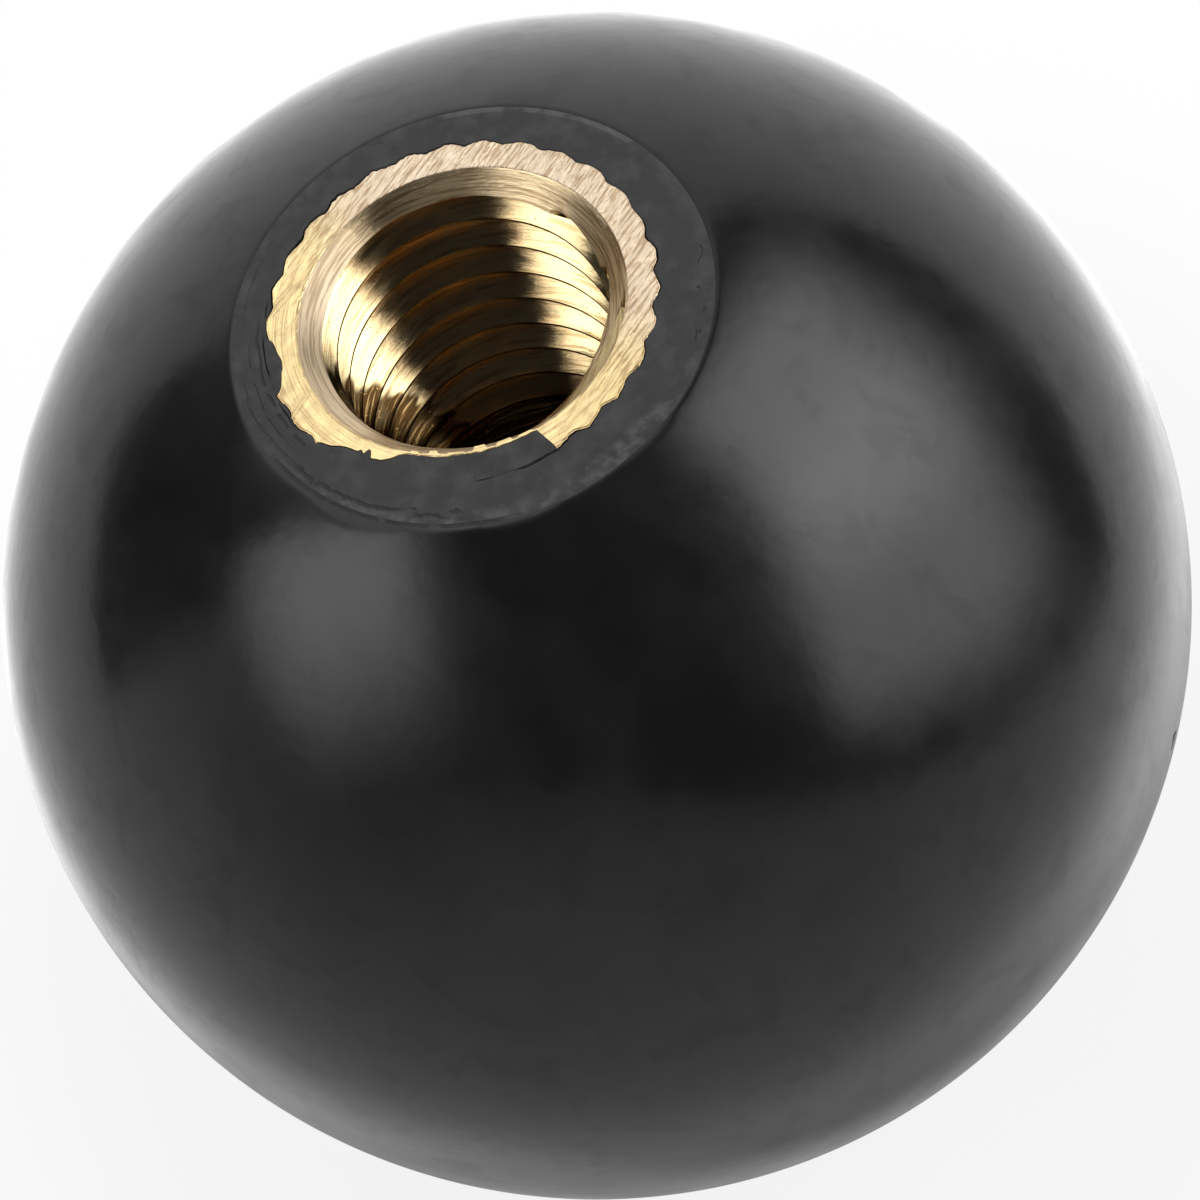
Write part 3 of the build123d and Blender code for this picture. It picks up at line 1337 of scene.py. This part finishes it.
def facing(middle: Vector, azimuth: float, elevation: float, distance: float, roll: float) -> Matrix:
    """Gives the place of something that faces a point from afar.

    Args:
        middle: The point that it faces, in metres.
        azimuth: Its direction round +Z from +X.
        elevation: Its angle over the level of the point.
        distance: How far away it stands, in metres.
        roll: How far it is turned about its own axis.

    Returns:
        Its matrix, with the back of the thing along +Z.
    """
    away = Vector(direction(azimuth, elevation))
    across = Vector((0.0, 0.0, 1.0)).cross(away).normalized()
    along = away.cross(across)
    cos, sin, _ = direction(roll, 0.0)
    return axes(across * cos + along * sin, along * cos - across * sin, away, middle + away * distance)


def axes(x: Vector, y: Vector, z: Vector, at: Vector) -> Matrix:
    """Gives the matrix with these axes and this place."""
    return Matrix.Translation(at) @ Matrix((x, y, z)).transposed().to_4x4()


@dataclass(frozen=True)
class Softbox:
    """A soft studio light that faces the knob, whose cloth dims towards its edges.

    The edges are half the width of the dimming at the low and high side in x, and then in y.
    """

    name: str
    azimuth: float
    elevation: float
    width: float
    height: float
    glow: float
    roll: float = 0.0
    edges: tuple = (0.03, 0.03, 0.03, 0.03)
    distance: float = 0.42

    def place(self, middle: Vector) -> None:
        """Adds the light.

        Args:
            middle: The point that it faces, in metres.
        """
        lamp = bpy.data.lights.new(self.name, "AREA")
        lamp.shape = "RECTANGLE"
        low_x, high_x, low_y, high_y = self.edges
        lamp.size = self.width + 2.0 * max(low_x, high_x)
        lamp.size_y = self.height + 2.0 * max(low_y, high_y)
        lamp.energy = self.glow * math.pi * lamp.size * lamp.size_y
        lamp.use_nodes = True
        tree = lamp.node_tree
        place = node(tree, "ShaderNodeNewGeometry").outputs["Parametric"]
        parts = node(tree, "ShaderNodeSeparateXYZ", place)

        def side(part: int, full: float, half: float, low: float, high: float) -> Signal:
            """Gives the cloth's light along one of its sides.

            Args:
                part: Which of the cloth's two measures it is.
                full: The lamp's size along it.
                half: Half the cloth's size.
                low: Half the width of the dimming at the low end.
                high: The same at the high end.

            Returns:
                The light's share.
            """
            at = (Signal(parts.outputs[part]) - 0.5) * full
            return at.ramp(-half - low, -half + low) * at.ramp(half + high, half - high)

        light = side(0, lamp.size, self.width / 2, low_x, high_x)
        light = light * side(1, lamp.size_y, self.height / 2, low_y, high_y)
        feed(tree.nodes["Emission"].inputs["Color"], light)
        frame = facing(middle, self.azimuth, self.elevation, self.distance, self.roll)
        linked(self.name, lamp).matrix_world = frame
        log.info("%s at azimuth %.0f, elevation %.0f", self.name, self.azimuth, self.elevation)


@dataclass(frozen=True)
class DarkSide:
    """A part of the room that black cloth hangs in front of, which keeps the gloss round a light dark."""

    azimuth: float
    elevation: float
    roll: float
    across: tuple
    along: tuple
    soft: float = 0.15

    def hung(self, seen: Signal) -> Signal:
        """Gives 1 in the directions that the cloth hangs in, and 0 in others, with soft edges.

        Args:
            seen: The direction looked in.

        Returns:
            The cloth's share.
        """
        frame = facing(Vector((0.0, 0.0, 0.0)), self.azimuth, self.elevation, 1.0, self.roll)
        across, upward, ahead = (seen.vector("DOT_PRODUCT", tuple(frame.col[k][:3])) for k in range(3))
        near = ahead.most(0.05)
        share = (across / near).window(*self.across, self.soft)
        share = share * (upward / near).window(*self.along, self.soft)
        return share * ahead.ramp(0.05, 0.2)


@dataclass(frozen=True)
class ThrownLight:
    """Light that a pale surface of the room, such as the table, throws back."""

    azimuth: float
    elevation: float
    narrowness: float
    level: float

    def thrown(self, seen: Signal) -> Signal:
        """Gives its level in the direction looked in."""
        near = seen.vector("DOT_PRODUCT", direction(self.azimuth, self.elevation)).most(0.0)
        return near.math("POWER", self.narrowness) * self.level


@dataclass(frozen=True)
class Studio:
    """The plain studio: a white floor and background, soft lights, a room with dark sides, and the camera."""

    ball_centre: tuple = BALL_CENTRE
    floor_height: float = -38.5405
    floor_solid: float = 22.0
    floor_end: float = 40.0
    floor_grey: tuple = (0.8, 0.8, 0.8)
    floor_dark: tuple = (0.28, 0.28, 0.28)
    toward_dark: tuple = (0.17, -0.98, 0.0)
    tilt: float = 31.06
    roll: float = 23.3
    distance: float = 133.4
    lens: float = 117.75
    shift: tuple = (0.00256, 0.00383)
    room: float = 0.576
    room_slope: float = 0.146
    room_curve: float = 0.407
    room_least: float = 0.02
    dim_azimuth: float = -113.9
    dim_elevation: float = 45.4
    softboxes: tuple = (
        Softbox("right_softbox", -27.5, 18.5, 0.308, 0.386, 2.06, 54.1, (0.087, 0.112, 0.128, 0.041)),
        Softbox("right_upper_softbox", -4.6, 38.3, 0.270, 0.321, 2.93, 46.7, (0.109, 0.055, 0.124, 0.054)),
        Softbox("left_softbox", 188.85, 46.65, 0.236, 0.206, 2.48, 59.5, (0.070, 0.033, 0.150, 0.018)),
        Softbox("top_softbox", 118.0, 62.0, 0.360, 0.300, 1.1),
    )
    dark_sides: tuple = (
        DarkSide(-27.5, 18.5, 54.1, (-0.663, 1.716), (-1.224, 1.879), 0.22),
        DarkSide(188.85, 46.65, 59.5, (-1.785, 0.357), (0.064, 1.288), 0.24),
        DarkSide(-90.0, 60.0, 0.0, (-0.75, 0.75), (-0.60, 0.60), 0.25),
    )
    thrown_light: tuple = (
        ThrownLight(80.1, -71.5, 9.04, 2.75),
        ThrownLight(-4.0, -60.0, 25.0, 0.5),
        ThrownLight(-112.0, 6.0, 9.0, 0.24),
    )

    def floor(self) -> bpy.types.Object:
        """Makes the floor: white to the camera, with the knob's soft shadow, and fading out further off.

        Returns:
            The floor.
        """
        half, level = self.floor_end * MM * 1.05, self.floor_height * MM
        square = [(x, y, level) for x, y in ((-half, -half), (half, -half), (half, half), (-half, half))]
        mesh = bpy.data.meshes.new("floor")
        mesh.from_pydata(square, [], [(0, 1, 2, 3)])
        made = bpy.data.materials.new("studio_white")
        made.use_nodes = True
        tree = made.node_tree
        tree.nodes.remove(tree.nodes["Principled BSDF"])
        place = Signal(node(tree, "ShaderNodeTexCoord").outputs["Object"])
        flat = place.vector("MULTIPLY", (1.0 / MM, 1.0 / MM, 0.0))
        away = flat.vector("LENGTH")
        rays = node(tree, "ShaderNodeLightPath").outputs
        camera, glossy = Signal(rays["Is Camera Ray"]), Signal(rays["Is Glossy Ray"])
        # in the knob's gloss the floor is darker on the side before it: painted shade, seen only in
        # reflections
        before = flat.vector("DOT_PRODUCT", self.toward_dark).ramp(18.0, 24.0) * glossy
        matt = node(tree, "ShaderNodeBsdfDiffuse", Color=before.mix(self.floor_grey, self.floor_dark))
        white = node(tree, "ShaderNodeEmission", Color=WHITE, Strength=1.0)
        share = (camera * 0.85).most(glossy * away.ramp(20.0, 34.0, 0.17, 0.5))
        seen = node(tree, "ShaderNodeMixShader", share, matt.outputs[0], white.outputs[0])
        clear = node(tree, "ShaderNodeBsdfTransparent")
        fade = away.ramp(self.floor_solid, self.floor_end)
        faded = node(tree, "ShaderNodeMixShader", fade, seen.outputs[0], clear.outputs[0])
        feed(tree.nodes["Material Output"].inputs["Surface"], faded.outputs[0])
        mesh.materials.append(made)
        return linked("floor", mesh)

    def world(self) -> None:
        """Makes the world: white to the camera, and a room, dim before the knob and bright behind it."""
        world = bpy.data.worlds.new("studio")
        bpy.context.scene.world = world
        world.use_nodes = True
        tree = world.node_tree
        tree.nodes.clear()
        seen = Signal(node(tree, "ShaderNodeTexCoord").outputs["Generated"])
        dim = seen.vector("DOT_PRODUCT", direction(self.dim_azimuth, self.dim_elevation))
        drop = dim * self.room_slope + dim * abs(dim) * self.room_curve
        level = (self.room - drop).most(self.room_least)
        for light in self.thrown_light:
            level = level + light.thrown(seen)
        for side in self.dark_sides:
            level = level * (1.0 - side.hung(seen))
        room = node(tree, "ShaderNodeBackground", Color=WHITE, Strength=level + self.room_least)
        white = node(tree, "ShaderNodeBackground", Color=WHITE, Strength=1.0)
        camera = node(tree, "ShaderNodeLightPath").outputs["Is Camera Ray"]
        mixed = node(tree, "ShaderNodeMixShader", camera, room.outputs[0], white.outputs[0])
        node(tree, "ShaderNodeOutputWorld", mixed.outputs[0])

    def camera(self) -> None:
        """Places the camera over the flat, tilted from the bore's axis and rolled, as in the photograph."""
        up_part, out_part, _ = direction(self.tilt, 0.0)
        toward = Vector((0.0, -out_part, up_part))
        level_up, level_right = Vector((0.0, up_part, out_part)), Vector((1.0, 0.0, 0.0))
        cos, sin, _ = direction(self.roll, 0.0)
        right, up = cos * level_right - sin * level_up, cos * level_up + sin * level_right
        lens = bpy.data.cameras.new("camera")
        lens.lens = self.lens
        lens.sensor_width = 36.0
        lens.shift_x, lens.shift_y = self.shift
        lens.clip_start, lens.clip_end = 0.002, 20.0
        placed = linked("camera", lens)
        eye = (Vector(self.ball_centre) + self.distance * toward) * MM
        placed.matrix_world = axes(right, up, toward, eye)
        bpy.context.scene.camera = placed

    def build(self) -> None:
        """Sets the stage."""
        self.floor()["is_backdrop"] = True
        self.world()
        for softbox in self.softboxes:
            softbox.place(Vector(self.ball_centre) * MM)
        self.camera()
        bpy.context.scene.view_settings.view_transform = "Standard"


def corners() -> list:
    """Gives the shown object's lowest and highest corner as plain lists."""
    return [[float(value) for value in corner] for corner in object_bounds()]


def main() -> None:
    """Builds the knob's looks piece by piece."""
    logging.basicConfig(level=logging.INFO, format="%(name)s: %(message)s")
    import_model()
    Studio().build()

    effects = EffectGroups()
    effects.build()
    polished = PolishedResin().material(effects)
    cut = CutResin().material(effects)
    filed = FiledBrass().material(effects)
    tapped = TappedBrass().material(effects)

    knurl = Knurl()
    bush = BrassBush(knurl=knurl, tapping=Tapping())
    bush_piece = bush.build([filed, tapped])
    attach(bush_piece, "root")
    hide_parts("threaded_insert")

    ball_piece = ResinBall(knurl=knurl, bush=bush).build([polished, cut])
    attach(ball_piece, "root")
    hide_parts("ball")


if __name__ == "__main__":
    main()
